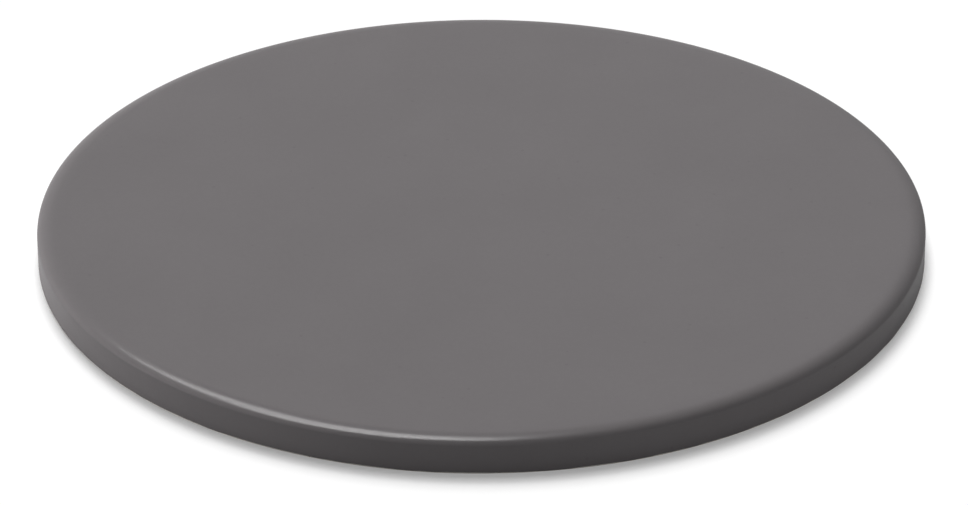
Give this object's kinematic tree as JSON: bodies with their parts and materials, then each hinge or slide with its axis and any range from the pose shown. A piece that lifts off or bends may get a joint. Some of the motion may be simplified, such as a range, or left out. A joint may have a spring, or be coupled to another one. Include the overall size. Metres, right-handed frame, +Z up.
{
  "type": "pizza stone",
  "caption": "Round glazed ceramic baking stone with a soft upper shoulder and a bare base, for pizza and bread on a grill or in an oven.",
  "frame": {"origin": "centre of the base, on the surface that the stone lies on", "axes": "+Z up through the baking face, about which the stone is round; X and Y lie in the base"},
  "size_m": [0.365, 0.365, 0.015],
  "materials": {
    "bare_ceramic": "matte",
    "satin_glaze": "satin"
  },
  "bodies": {
    "root": {"fired_disc": "bare_ceramic", "glaze_coat": "satin_glaze"}
  },
  "joints": []
}
